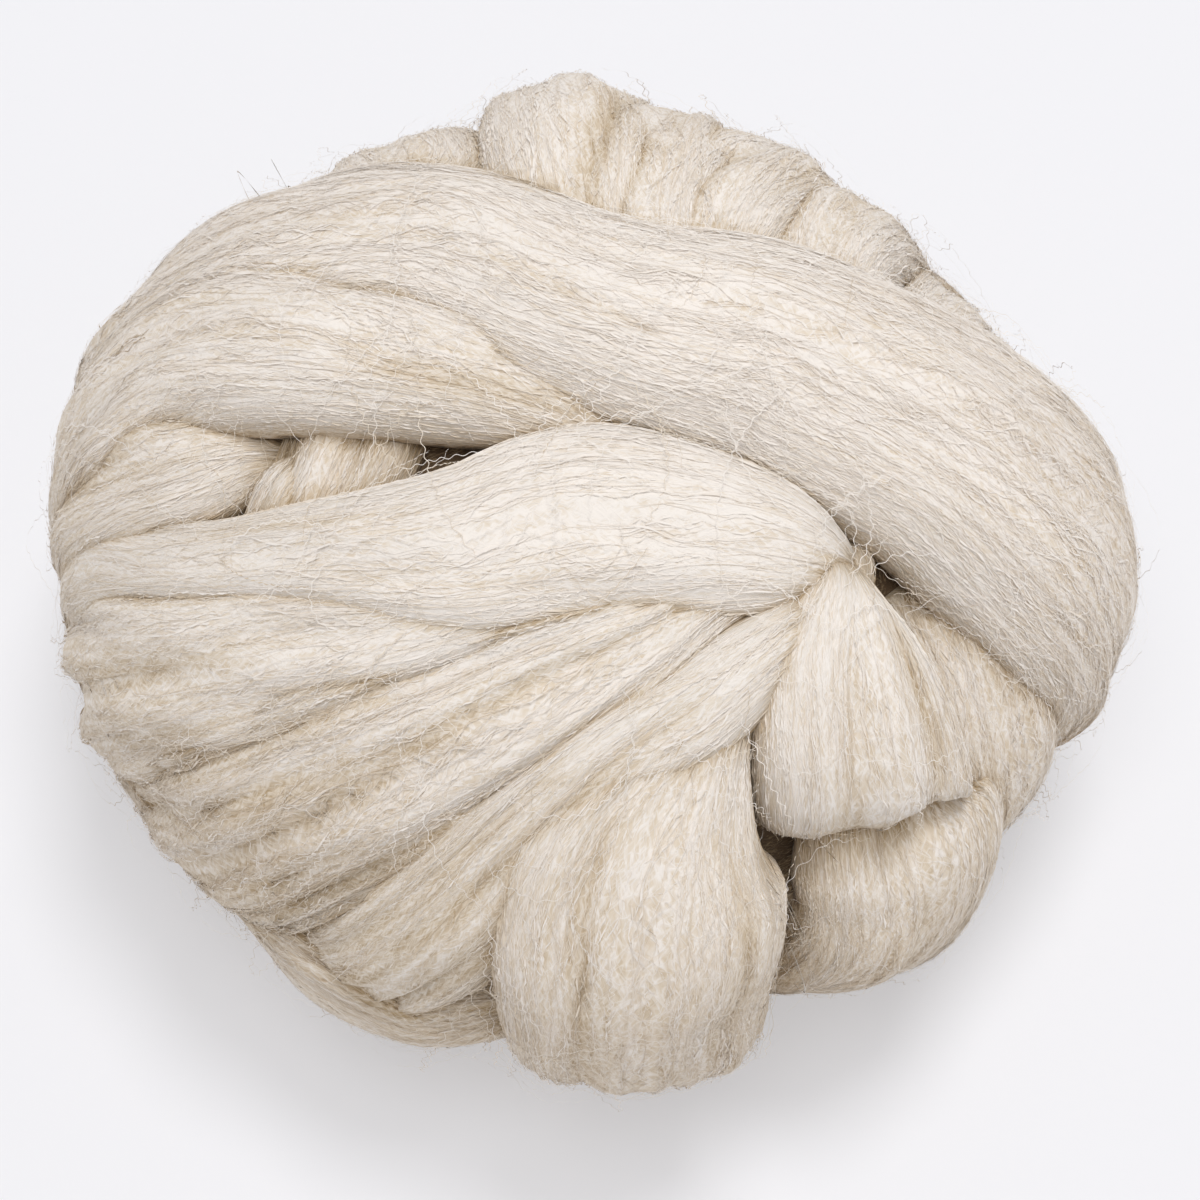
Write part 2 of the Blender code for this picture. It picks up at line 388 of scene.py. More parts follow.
def spline(rows, closed):
    """Places on the core and sizes every STATION or so, by a Catmull-Rom curve through the rows."""
    rows = np.array(rows, float)
    turn, rise = np.radians(rows[:, 0]), np.radians(rows[:, 1])
    places = np.stack((np.cos(turn) * np.cos(rise), np.sin(turn) * np.cos(rise), np.sin(rise)), 1) * CORE
    points = np.hstack((places, rows[:, 2:] * MM))
    if closed:
        points = np.vstack((points[-1:], points, points[:2]))
    else:
        points = np.vstack((points[:1], points, points[-1:]))
    found = []
    for p0, p1, p2, p3 in zip(points, points[1:], points[2:], points[3:]):
        steps = max(2, round(np.linalg.norm((p2 - p1)[:3]) / STATION))
        t = (np.arange(steps) / steps)[:, None]
        found.append(0.5 * (2 * p1 + (p2 - p0) * t + (2 * p0 - 5 * p1 + 4 * p2 - p3) * t**2
                            + (3 * p1 - p0 - 3 * p2 + p3) * t**3))
    found.append(points[-2:-1])
    return np.vstack(found)


# The waves in a lap's surface, a row for each kind: how many; height, mm; the least and the spread of
# waves a metre along it; the least and the spread of folds across it; and the power of the lap's
# `ridged` that they grow with. They are broad lumps, long folds and fine combed ridges.
WAVES = (
    (5, 0.36, 12, 14, 1, 2, 0),
    (4, 0.22, 2, 4, 3, 5, 0.5),
    (5, 0.10, 1, 4, 10, 16, 1),
)
FULL_WAVES = 40 * MM
CREASE_WANDER = 0.05


class Lap:
    """One lap's surface, by the distance along it and the angle round its section."""

    def __init__(self, name, rows, creases=()):
        self.name = name
        self.closed = name in CLOSED
        path = spline(rows, self.closed)
        self.place = on_core(path[:, :3])
        self.sizes = path[:, 3:]
        ahead = np.gradient(self.place, axis=0)
        if self.closed:
            ahead[0] = ahead[-1] = self.place[1] - self.place[-2]
        ahead /= np.linalg.norm(ahead, axis=1, keepdims=True)
        side = np.cross(ahead, out_of_core(self.place))
        side /= np.linalg.norm(side, axis=1, keepdims=True)
        self.side = side + math.tan(math.radians(SLANT.get(name, 0))) * ahead
        gaps = np.linalg.norm(np.diff(self.place, axis=0), axis=1)
        self.at = np.concatenate(([0], np.cumsum(gaps)))
        self.length = self.at[-1]
        self.creases = creases
        self.ridged = RIDGED.get(name, 1.0)
        random = np.random.default_rng(sum(name.encode()))
        self.waves = random.uniform(0, 1, (sum(row[0] for row in WAVES), 4))

    def read(self, along, table):
        return np.stack([np.interp(along, self.at, column) for column in table.T], -1)

    def unevenness(self, along, across):
        """Lumps, folds and fine combed ridges, m outwards. `across` runs from -1 to 1."""
        wide = np.interp(along, self.at, self.sizes[:, 0])
        total = np.zeros(np.shape(along))
        kinds = [row for row in WAVES for _ in range(row[0])]
        for (_, high, least, spread, few, more, share), (a, b, c, d) in zip(kinds, self.waves):
            size = high * MM * self.ridged**share
            per_m = least + spread * a
            folds = few + more * b
            if self.closed:
                per_m = max(1, round(per_m * self.length)) / self.length
            turns = along * per_m * (1 if c > 0.5 else -1) + across * folds * 0.5 + d
            total += size * np.sin(math.tau * turns) * np.clip(wide / FULL_WAVES, 0.3, 1)
        return total - self.crease(along, across) * MM

    def crease(self, along, across):
        """How deep the folds pressed into the lap are here, mm."""
        wide = np.interp(along, self.at, self.sizes[:, 0])
        total = np.zeros(np.shape(along))
        for start, end, low_q, high_q, depth, breadth in self.creases:
            part = np.clip((along / self.length - start) / (end - start), -1, 2)
            line = low_q + (high_q - low_q) * part + CREASE_WANDER * np.sin(part * 5 + 9 * start)
            fade = np.clip(1 - np.abs(2 * part - 1) ** 3, 0, 1)
            total += depth * fade * np.exp(-np.abs(across - line) * wide / 2 / (breadth * MM))
        return total

    def surface(self, along, angle, out=0.0):
        """Points at these distances and angles, and the outward direction of the core there."""
        place = self.read(along, self.place)
        side = self.read(along, self.side)
        wide, lift, thick = np.moveaxis(self.read(along, self.sizes), -1, 0)
        across = power(np.cos(angle))
        up = power(np.sin(angle))
        spot = on_core(place + side * (across * wide / 2)[..., None])
        normal = out_of_core(spot)
        height = lift - thick / 2 + up * thick / 2 + out
        height += self.unevenness(along, across) * np.clip(up * 3, 0, 1)
        found = spot + normal * height[..., None] + CORE_AT
        found[..., 2] = np.maximum(found[..., 2], 0)
        return found, normal


# How strongly a lap is ridged, where it is more or less than the others: the fan is pulled into many
# narrow ridges, and the laps at the rear are drawn smooth.
RIDGED = {"crown_right": 0.7, "middle": 0.8, "fan": 2.0, "fan_lower_fold": 1.8, "fan_upper_fold": 1.4}
RIDGED.update((name, 0.4) for name in LAPS if name.startswith("rear_"))

# Folds pressed into a lap, a row each: where it starts and ends along the lap, from 0 to 1, its place
# across it at each end, from -1 to 1, and its depth and breadth, mm.
CREASES = {
    "fan": [(0.1, 0.55, 0.1, 0.25, 2.4, 1.3), (0.18, 0.8, -0.5, -0.35, 3.0, 1.5),
            (0.25, 0.85, 0.55, 0.62, 2.8, 1.4), (0.28, 0.85, 0.1, -0.1, 2.8, 1.5),
            (0.4, 0.85, 0.3, 0.35, 2.2, 1.2), (0.35, 0.8, -0.75, -0.7, 2.2, 1.3),
            (0.4, 0.85, -0.25, -0.2, 2.0, 1.1), (0.45, 0.85, 0.8, 0.8, 2.0, 1.2)],
    "fan_lower_fold": [(0.25, 0.7, 0.1, 0.3, 2.4, 1.3), (0.34, 0.85, -0.4, -0.3, 2.4, 1.3),
                       (0.38, 0.85, 0.65, 0.55, 2.0, 1.2)],
    "fan_upper_fold": [(0.35, 0.9, 0.2, 0.0, 1.8, 1.8), (0.4, 0.8, -0.45, -0.4, 1.2, 1.4)],
    "middle": [(0.35, 0.62, -0.55, -0.4, 1.4, 1.2), (0.5, 0.8, 0.3, 0.5, 0.8, 1.2)],
    "front_right": [(0.2, 0.9, -0.42, -0.4, 2.8, 1.6), (0.3, 0.95, 0.3, 0.32, 1.4, 1.2)],
    "front_middle": [(0.2, 0.6, -0.6, -0.5, 1.6, 1.6), (0.2, 0.75, 0.42, 0.36, 2.2, 1.6),
                     (0.3, 0.7, 0.0, -0.1, 0.9, 1.6)],
    "turned_under_lap": [(0.2, 0.8, 0.1, 0.0, 1.6, 1.6), (0.3, 0.8, -0.4, -0.4, 1.4, 1.4)],
    "crown_right": [(0.38, 0.5, 0.25, 0.3, 1.6, 0.8), (0.2, 0.4, 0.0, 0.1, 0.8, 1.5)],
    "crown_left": [(0.35, 0.6, 0.3, 0.2, 1.0, 1.4), (0.25, 0.5, -0.3, -0.2, 0.9, 1.4),
                   (0.6, 0.95, 0.4, 0.2, 2.2, 5.0)],
    "tucked_fold": [(0.3, 0.9, 0.2, 0.1, 1.4, 1.4)],
    "rear_middle": [(0.1, 0.4, 0.0, 0.75, 3.6, 2.4)],
    "rear_middle_fold": [(0.1, 0.5, 0.1, 0.3, 1.0, 2.0)],
    "rear_right": [(0.06, 0.3, -0.5, 0.1, 3.6, 1.8), (0.15, 0.6, 0.5, 0.7, 1.2, 2.0)],
    "rear_right_fold": [(0.1, 0.5, -0.1, 0.3, 1.4, 2.0)],
    "rear_left": [(0.2, 0.6, 0.3, -0.2, 1.2, 2.0)],
}

# Each lap's mesh: the steps along it and across its crown, and the few round its hidden underside.
# Its UV map holds metres along the lap and across it, with every lap taken as FULL_WIDTH wide.
ALONG_STEP = 2.5 * MM
ACROSS_STEP = 1.15 * MM
LEAST_ACROSS = 24
UNDER_STEPS = 4
FULL_WIDTH = 50 * MM


def lap_mesh(lap):
    """A grid wrapped round into the lap's tube, its seam welded and its ends closed."""
    bm = bmesh.new()
    steps = round(lap.length / ALONG_STEP)
    crown = max(LEAST_ACROSS, round(lap.sizes[:, 0].max() / ACROSS_STEP))
    rows = crown + UNDER_STEPS
    bmesh.ops.create_grid(bm, x_segments=steps, y_segments=rows, size=0.5)
    mesh = bpy.data.meshes.new("lap_" + lap.name)
    bm.to_mesh(mesh)
    bm.free()
    flat = np.empty(len(mesh.vertices) * 3, np.float32)
    mesh.vertices.foreach_get("co", flat)
    flat = flat.reshape(-1, 3).astype(float)
    along = (flat[:, 0] + 0.5) * lap.length
    row = np.round((flat[:, 1] + 0.5) * rows)
    under = math.pi + (row - crown) / UNDER_STEPS * math.pi
    angle = np.where(row <= crown, row / crown * math.pi, under)
    places, _ = lap.surface(along, angle)
    mesh.vertices.foreach_set("co", places.astype(np.float32).ravel())
    mesh.attributes.new("along", "FLOAT", "POINT").data.foreach_set("value", along.astype(np.float32))
    mesh.attributes.new("angle", "FLOAT", "POINT").data.foreach_set("value", angle.astype(np.float32))
    corners = np.empty(len(mesh.loops), np.int32)
    mesh.loops.foreach_get("vertex_index", corners)
    uv = np.stack((along, angle / math.pi * FULL_WIDTH), 1)[corners]
    mesh.uv_layers.new(name="combed").data.foreach_set("uv", uv.astype(np.float32).ravel())
    bm = bmesh.new()
    bm.from_mesh(mesh)
    bmesh.ops.remove_doubles(bm, verts=bm.verts, dist=0.001 * MM)
    bmesh.ops.holes_fill(bm, edges=[e for e in bm.edges if e.is_boundary], sides=0)
    bmesh.ops.recalc_face_normals(bm, faces=bm.faces)
    bm.to_mesh(mesh)
    bm.free()
    mesh.shade_smooth()
    return mesh


def values(mesh, name):
    """The mesh's values of this attribute, one for each vertex."""
    found = np.empty(len(mesh.vertices), np.float32)
    mesh.attributes[name].data.foreach_get("value", found)
    return found


laps = []
lap_meshes = []
for name, rows in LAPS.items():
    lap = Lap(name, rows, CREASES.get(name, ()))
    laps.append(lap)
    lap_meshes.append(lap_mesh(lap))

# How open each place on a lap is to the room, from 0 deep in a fold to 1 on a crown: the share of short
# rays that leave it without meeting the ball, less where it faces level or down. As colour it is painted
# shade: the wool is made darker and tanner where it is closed in or faces down.
OPEN_REACH = 22 * MM
RAYS = 14
RAY_SPREAD = 0.88
RAY_START = 0.5 * MM
ALONG_CELL = 3 * MM
ANGLE_CELLS = 33
RIM = 0.02
# Painted shade from above: a place facing level or down keeps only this share of its openness.
SHADED_SIDE_SHARE = 0.66
# Painted shade in pressed folds: a fold's depth over this many mm, up to the share below, is taken from
# the openness.
CREASE_SHADE_DEPTH = 5.5
MOST_CREASE_SHADE = 0.4
corners, faces, count = [], [], 0
for mesh in lap_meshes:
    corners += [v.co[:] for v in mesh.vertices]
    faces += [[count + i for i in p.vertices] for p in mesh.polygons]
    count += len(mesh.vertices)
ball = BVHTree.FromPolygons(corners, faces)


def ray_fan():
    """Directions spread evenly over the half space round +Z, more of them near the axis."""
    fan = []
    for i in range(RAYS):
        tilt = math.asin(math.sqrt((i + 0.5) / RAYS) * RAY_SPREAD)
        turn = i * math.pi * (3 - math.sqrt(5))
        level = math.sin(tilt)
        fan.append(Vector((level * math.cos(turn), level * math.sin(turn), math.cos(tilt))))
    return fan


FAN = ray_fan()
UP = Vector((0, 0, 1))
for lap in laps:
    cells = max(4, round(lap.length / ALONG_CELL))
    along = np.linspace(0, lap.length, cells)
    angle = np.linspace(RIM, math.pi - RIM, ANGLE_CELLS)
    grid_along, grid_angle = (g.ravel() for g in np.meshgrid(along, angle, indexing="ij"))
    creased = lap.crease(grid_along, power(np.cos(grid_angle))) * MM
    spots, normals = lap.surface(grid_along, grid_angle, creased + RAY_START)
    shares = []
    for spot, normal in zip(spots, normals):
        face = UP.rotation_difference(Vector(normal))
        start = Vector(spot)
        clear = sum(ball.ray_cast(start, face @ ray, OPEN_REACH)[0] is None for ray in FAN)
        shares.append(clear / RAYS * (SHADED_SIDE_SHARE + (1 - SHADED_SIDE_SHARE) * max(normal[2], 0)))
    lap.open_along, lap.open_angle = along, angle
    grid = np.pad(np.array(shares).reshape(cells, ANGLE_CELLS), 1, mode="edge")
    grid = (grid[:-2] + 2 * grid[1:-1] + grid[2:]) / 4
    lap.open = (grid[:, :-2] + 2 * grid[:, 1:-1] + grid[:, 2:]) / 4


def openness(lap, along, angle):
    """The share read from the lap's grid, blended between its cells, and less in a pressed fold; as
    colour it is painted shade.
    """
    i = np.interp(along, lap.open_along, np.arange(len(lap.open_along)))
    j = np.interp(angle, lap.open_angle, np.arange(ANGLE_CELLS))
    i0 = np.minimum(i.astype(int), len(lap.open_along) - 2)
    j0 = np.minimum(j.astype(int), ANGLE_CELLS - 2)
    a, b = i - i0, j - j0
    near = lap.open[i0, j0] * (1 - a) + lap.open[i0 + 1, j0] * a
    far = lap.open[i0, j0 + 1] * (1 - a) + lap.open[i0 + 1, j0 + 1] * a
    crease_shade = np.clip(lap.crease(along, power(np.cos(angle))) / CREASE_SHADE_DEPTH, 0, MOST_CREASE_SHADE)
    return (1 - crease_shade) * (near * (1 - b) + far * b)


# The wool: undyed pale oatmeal, with fine darker fibres among the light ones. The tan and dark brown in
# the folds, the gaps and on sides facing down are painted shade, set by how open each place is. One group
# colours the laps and the loose fibres alike.
def node(tree, kind, **values):
    made = tree.nodes.new(kind)
    for name, value in values.items():
        if name in made.inputs:
            made.inputs[name].default_value = value
        else:
            setattr(made, name, value)
    return made


def maths(tree, operation, a, b=None):
    made = tree.nodes.new("ShaderNodeMath")
    made.operation = operation
    for socket, value in zip(made.inputs, (a, b)):
        if isinstance(value, (int, float)):
            socket.default_value = value
        elif value is not None:
            tree.links.new(value, socket)
    return made.outputs[0]


def ramp(tree, value, stops):
    made = tree.nodes.new("ShaderNodeValToRGB")
    for element, (place, colour) in zip(made.color_ramp.elements, (stops[0], stops[-1])):
        element.position = place
        element.color = colour
    for place, colour in stops[1:-1]:
        made.color_ramp.elements.new(place).color = colour
    tree.links.new(value, made.inputs["Fac"])
    return made.outputs["Color"]


# Its colours, from the bottom of a gap to a crown that faces the room: the dark brown is painted shade,
# the tan and cream are painted shade mixed with the darker fibres' own tone, and the pale is the wool's
# own colour.
GAP_SHADE = (0.16, 0.105, 0.06, 1)
TAN = (0.46, 0.34, 0.205, 1)
CREAM = (0.70, 0.60, 0.475, 1)
PALE = (0.86, 0.805, 0.75, 1)
tint = bpy.data.node_groups.new("wool tint", "ShaderNodeTree")
tint.interface.new_socket("Openness", in_out="INPUT", socket_type="NodeSocketFloat")
tint.interface.new_socket("Tone", in_out="INPUT", socket_type="NodeSocketFloat")
tint.interface.new_socket("Color", in_out="OUTPUT", socket_type="NodeSocketColor")
given = tint.nodes.new("NodeGroupInput")
result = tint.nodes.new("NodeGroupOutput")
shifted = maths(tint, "ADD", given.outputs["Openness"],
                maths(tint, "MULTIPLY", maths(tint, "SUBTRACT", given.outputs["Tone"], 0.5), 0.5))
tint.links.new(ramp(tint, shifted, ((0.04, GAP_SHADE), (0.27, TAN), (0.62, CREAM), (1.0, PALE))),
               result.inputs["Color"])


def wool_shader(name, sheen):
    """A wool material coloured by the group, with its node tree, shader and group node."""
    mat = bpy.data.materials.new(name)
    mat.use_nodes = True
    tree = mat.node_tree
    shader = tree.nodes["Principled BSDF"]
    shader.inputs["Roughness"].default_value = 0.85
    shader.inputs["Specular IOR Level"].default_value = 0.25
    shader.inputs["Sheen Weight"].default_value = sheen
    shader.inputs["Sheen Roughness"].default_value = 0.4
    shader.inputs["Sheen Tint"].default_value = (1.0, 0.96, 0.9, 1)
    colour = tree.nodes.new("ShaderNodeGroup")
    colour.node_tree = tint
    tree.links.new(colour.outputs["Color"], shader.inputs["Base Color"])
    openness_read = node(tree, "ShaderNodeAttribute", attribute_name="openness")
    tree.links.new(openness_read.outputs["Fac"], colour.inputs["Openness"])
    return mat, tree, shader, colour


# On the laps, the combed fibres are streaks that run along the lap and waver with the wool's crimp,
# with a few single fibres that cross them at a slant. The streaks also raise the surface a little.
CRIMP = 1.9 * MM
laid, tree, shader, colour = wool_shader("combed wool", 0.25)
uv = node(tree, "ShaderNodeUVMap", uv_map="combed")
split = tree.nodes.new("ShaderNodeSeparateXYZ")
tree.links.new(uv.outputs["UV"], split.inputs[0])
run, across = split.outputs["X"], split.outputs["Y"]


# The crimp's phase drifts along the fibres and from one to the next, changes a metre, by up to
# PHASE_SPREAD radians. Frizz lines are this many a metre along the lap and across it.
PHASE_CHANGE = (60.0, 500.0)
PHASE_SPREAD = 18.0
FRIZZ_ALONG = 260.0
FRIZZ_ACROSS = 1100.0


def times(value, factor):
    return maths(tree, "MULTIPLY", value, factor)


def flat_noise(x, y, **values):
    """Noise in the plane of x and y, which are already in its own cells."""
    noise = node(tree, "ShaderNodeTexNoise", noise_dimensions="2D", Scale=1.0, **values)
    where = tree.nodes.new("ShaderNodeCombineXYZ")
    tree.links.new(x, where.inputs["X"])
    tree.links.new(y, where.inputs["Y"])
    tree.links.new(where.outputs[0], noise.inputs["Vector"])
    return noise.outputs["Fac"]


def streaks(per_m_along, per_m_across, detail, waver):
    """Noise drawn out along the fibres. `waver` is how far the crimp moves it, in its own units."""
    phase = flat_noise(times(run, PHASE_CHANGE[0]), times(across, PHASE_CHANGE[1]))
    turns = maths(tree, "ADD", times(run, math.tau / CRIMP), times(phase, PHASE_SPREAD))
    wave = maths(tree, "SINE", turns)
    place = maths(tree, "ADD", times(across, per_m_across), times(wave, waver))
    return flat_noise(times(run, per_m_along), place, Detail=detail, Roughness=0.65)


def frizz_lines(slope):
    """Thin wavering pale lines, the single fibres that cross the others at a slant."""
    slanted = maths(tree, "ADD", across, times(run, slope))
    noise = flat_noise(times(run, FRIZZ_ALONG), times(slanted, FRIZZ_ACROSS), Detail=1.0, Distortion=0.6)
    off = maths(tree, "ABSOLUTE", maths(tree, "SUBTRACT", noise, 0.5))
    return maths(tree, "POWER", maths(tree, "SUBTRACT", 1.0, times(off, 4.0)), 5.0)


fine = streaks(110.0, 1900.0, 3.0, 0.25)
clumps = streaks(35.0, 420.0, 2.0, 0.05)
frizz = maths(tree, "MAXIMUM", frizz_lines(0.3), frizz_lines(-0.35))
tone = maths(tree, "ADD", times(fine, 1.7), times(clumps, 0.8))
tone = maths(tree, "ADD", maths(tree, "SUBTRACT", tone, 1.0), times(frizz, 0.6))
tree.links.new(tone, colour.inputs["Tone"])
bump = tree.nodes.new("ShaderNodeBump")
bump.inputs["Strength"].default_value = 0.7
bump.inputs["Distance"].default_value = 0.12 * MM
tree.links.new(tone, bump.inputs["Height"])
tree.links.new(bump.outputs["Normal"], shader.inputs["Normal"])

for lap, mesh in zip(laps, lap_meshes):
    angle = values(mesh, "angle")
    # Each lap's painted shade is stored as its openness; its hidden underside is painted the darkest.
    share = openness(lap, values(mesh, "along"), angle) * (angle <= math.pi + 0.01)
    mesh.attributes.new("openness", "FLOAT", "POINT").data.foreach_set("value", share.astype(np.float32))
    mesh.attributes.remove(mesh.attributes["along"])
    mesh.attributes.remove(mesh.attributes["angle"])
    mesh.materials.append(laid)
    piece = bpy.data.objects.new("lap_" + lap.name, mesh)
    bpy.context.collection.objects.link(piece)
    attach(piece, "root")
    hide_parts("roving_ball")

# Under the laps lie the first turns of the ball, wound tight. They show only at the bottom of the deepest
# gaps, where they are in shade, and underneath, where the ball rests on them, pressed flat. Their colour
# is painted shade: the darkest brown, and a middle tan in the low band where they rest.
SHADED_ABOVE = 15 * MM
RESTING_OPENNESS = 0.45
bm = bmesh.new()
bmesh.ops.create_icosphere(bm, subdivisions=5, radius=1)
bmesh.ops.scale(bm, vec=CORE, verts=bm.verts)
bmesh.ops.translate(bm, vec=CORE_AT, verts=bm.verts)
for vertex in bm.verts:
    vertex.co.z = max(vertex.co.z, 0.1 * MM)
mesh = bpy.data.meshes.new("inner_turns")
bm.to_mesh(mesh)
bm.free()
mesh.shade_smooth()
mesh.materials.append(laid)
corners = np.empty(len(mesh.loops), np.int32)
mesh.loops.foreach_get("vertex_index", corners)
flat = np.empty(len(mesh.vertices) * 3, np.float32)
mesh.vertices.foreach_get("co", flat)
spots = flat.reshape(-1, 3)[corners] - CORE_AT
turn = np.arctan2(spots[:, 1], spots[:, 0])
uv = np.stack((turn * CORE[1], spots[:, 2]), 1)
mesh.uv_layers.new(name="combed").data.foreach_set("uv", uv.astype(np.float32).ravel())
# Painted shade: openness 0, the darkest brown, above the low band, and a middle tan within it.
share = (flat.reshape(-1, 3)[:, 2] < SHADED_ABOVE).astype(np.float32) * RESTING_OPENNESS
mesh.attributes.new("openness", "FLOAT", "POINT").data.foreach_set("value", share)
core = bpy.data.objects.new("inner_turns", mesh)
bpy.context.collection.objects.link(core)
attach(core, "root")

# Single fibres of the wool are thin flat ribbons that taper at both ends, joined in their thousands.
# They take the laps' colours, painted shade in folds and gaps included, each with a tone of its own, and
# are shaded as the surface under them.
fibre_wool, tree, shader, colour = wool_shader("loose wool fibres", 0.3)
own = node(tree, "ShaderNodeAttribute", attribute_name="tone")
along_fibre = tree.nodes.new("ShaderNodeTexNoise")
along_fibre.inputs["Scale"].default_value = 180.0
place = tree.nodes.new("ShaderNodeTexCoord")
tree.links.new(place.outputs["Object"], along_fibre.inputs["Vector"])
mixed = maths(tree, "ADD", times(own.outputs["Fac"], 0.75), times(along_fibre.outputs["Fac"], 0.25))
tree.links.new(mixed, colour.inputs["Tone"])


# Each fibre has a cell of the OFBake map to itself, this many times as long as it is high.
CELL_SHAPE = 16
CELL_RIM = 0.05
LOWEST = 0.3 * MM


def fibres(name, points, sides, normals, widths, share, tone, fine=False):
    """One piece of many flat ribbons along points (fibres, stations, 3), each with a tone of its own.

    Fine ones have a single edge point at each station, left and right by turns, for half the faces."""
    number, stations, _ = points.shape
    points[..., 2] = np.maximum(points[..., 2], LOWEST)
    zigzag = np.where(np.arange(stations) % 2, 1, -1)
    taper = np.sin(np.linspace(0.15, math.pi - 0.15, stations)) ** 0.5
    half = sides * (widths[:, None] * taper / 2)[..., None]
    start = np.arange(number)[:, None] * stations
    if fine:
        edges = points + half * zigzag[None, :, None]
        step = np.arange(stations - 2)
        swap = step % 2
        corners = np.stack((step + 1 - swap, step + swap, step + 2), 1)
        faces = (start[..., None] + corners).reshape(-1, 3)
        a, b, c = (edges.reshape(-1, 3)[faces[:, k]] for k in range(3))
        inwards = (np.cross(b - a, c - a) * normals.reshape(-1, 3)[faces[:, 0]]).sum(1) < 0
        faces[inwards] = faces[inwards][:, ::-1]
    else:
        edges = np.stack((points + half, points - half), 2)
        first = (start + np.arange(stations - 1)).ravel() * 2
        faces = np.stack((first + 1, first + 3, first + 2, first), 1)
    copies = 1 if fine else 2
    mesh = bpy.data.meshes.new(name)
    mesh.vertices.add(number * stations * copies)
    mesh.vertices.foreach_set("co", edges.astype(np.float32).ravel())
    mesh.loops.add(faces.size)
    mesh.loops.foreach_set("vertex_index", faces.astype(np.int32).ravel())
    mesh.polygons.add(len(faces))
    mesh.polygons.foreach_set("loop_start", np.arange(0, faces.size, faces.shape[1], dtype=np.int32))
    mesh.update(calc_edges=True)
    for label, value in (("openness", np.repeat(share.ravel(), copies)),
                         ("tone", np.repeat(tone, stations * copies))):
        mesh.attributes.new(label, "FLOAT", "POINT").data.foreach_set("value", value.astype(np.float32))
    columns = round(math.sqrt(number / CELL_SHAPE))
    lanes = math.ceil(number / columns)
    order = np.arange(number)[:, None]
    u = (order % columns + np.linspace(CELL_RIM, 1 - CELL_RIM, stations)) / columns
    v = np.repeat((order // columns + 0.5) / lanes, stations, 1)
    half_lane = 0.4 / lanes
    if fine:
        uv = np.stack((u, v + half_lane * zigzag), -1)
    else:
        uv = np.stack((np.stack((u, v + half_lane), -1), np.stack((u, v - half_lane), -1)), 2)
    uv = uv.reshape(-1, 2)[faces.ravel()]
    mesh.uv_layers.new(name="OFBake").data.foreach_set("uv", uv.astype(np.float32).ravel())
    mesh.normals_split_custom_set_from_vertices(np.repeat(normals.reshape(-1, 3), copies, 0))
    mesh.materials.append(fibre_wool)
    piece = bpy.data.objects.new(name, mesh)
    bpy.context.collection.objects.link(piece)
    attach(piece, "root")


EDGE = 0.10
WIDEST = 60 * MM


def scattered(random, number, least_open, lowest):
    """Random places on the laps' open crowns: lap number, distance along, angle.

    None is more closed in than `least_open` or nearer the table than `lowest`, m."""
    areas = np.array([lap.length * lap.sizes[:, 0].mean() for lap in laps])
    found = []
    while sum(len(f[0]) for f in found) < number:
        which = random.choice(len(laps), number, p=areas / areas.sum())
        share = random.uniform(0, 1, number)
        angle = random.uniform(EDGE, math.pi - EDGE, number)
        chance = random.uniform(0, 1, number)
        for i, lap in enumerate(laps):
            own = which == i
            along = share[own] * lap.length
            wide = np.interp(along, lap.at, lap.sizes[:, 0])
            keep = (openness(lap, along, angle[own]) > least_open) & (chance[own] < wide / WIDEST)
            keep &= lap.surface(along, angle[own])[0][:, 2] > lowest
            found.append((np.full(keep.sum(), i), along[keep], angle[own][keep]))
    which, along, angle = (np.concatenate(part) for part in zip(*found))
    pick = random.permutation(len(which))[:number]
    return which[pick], along[pick], angle[pick]


LAP_END = 0.5 * MM


def combed(name, seed, number, stations, lengths, veer, proud, depth, widths, tones, fine):
    """Fibres that lie along the laps, up to `proud` above them, waved `depth` to the side, mm."""
    random = np.random.default_rng(seed)
    which, along, angle = scattered(random, number, 0.1, 9 * MM)
    length = random.uniform(*lengths, (number, 1)) * MM
    heading = random.normal(0, veer, (number, 1))
    t = np.linspace(-0.5, 0.5, stations)
    lift = random.uniform(0.02, proud, (number, 1)) * MM * (0.2 + np.cos(t * math.pi))
    far = t * length
    phase = random.uniform(0, math.tau, (number, 3))
    pitch = random.uniform(0.8, 1.3, (number, 1)) * CRIMP
    swing = np.sin(far / pitch * math.tau + phase[:, :1] + np.sin(far / (5 * MM) + phase[:, 1:2]))
    bob = np.cos(far / pitch * 3 + phase[:, 2:])
    wave = random.uniform(0.4, 1.2, (number, 1)) * depth * MM
    points, sides, normals = (np.empty((number, stations, 3)) for _ in range(3))
    share = np.empty_like(far)
    for i, lap in enumerate(laps):
        own = which == i
        wide = np.interp(along[own], lap.at, lap.sizes[:, 0])[:, None]
        run = along[own, None] + far[own] * np.cos(heading[own])
        run = run % lap.length if lap.closed else np.clip(run, LAP_END, lap.length - LAP_END)
        turn = angle[own, None] + far[own] * np.sin(heading[own]) / (wide * 0.6)
        turn = np.clip(turn + 0.02 * np.sin(t * 9 + phase[own, :1]), 0.03, math.pi - 0.03)
        base, normal = lap.surface(run, turn, lift[own])
        ahead = np.gradient(base, axis=1)
        side = np.cross(normal, ahead)
        side /= np.linalg.norm(side, axis=-1, keepdims=True) + 1e-12
        points[own] = base + side * (wave[own] * swing[own])[..., None]
        points[own] += normal * (0.25 * wave[own] * bob[own])[..., None]
        sides[own] = side
        normals[own] = np.cross(ahead, side)
        # Each fibre takes the painted shade of the place on the lap under it.
        share[own] = openness(lap, run, turn)
    normals /= np.linalg.norm(normals, axis=-1, keepdims=True) + 1e-12
    fibres(name, points, sides, normals, random.uniform(*widths, number) * MM, share,
           random.uniform(*tones, number), fine)


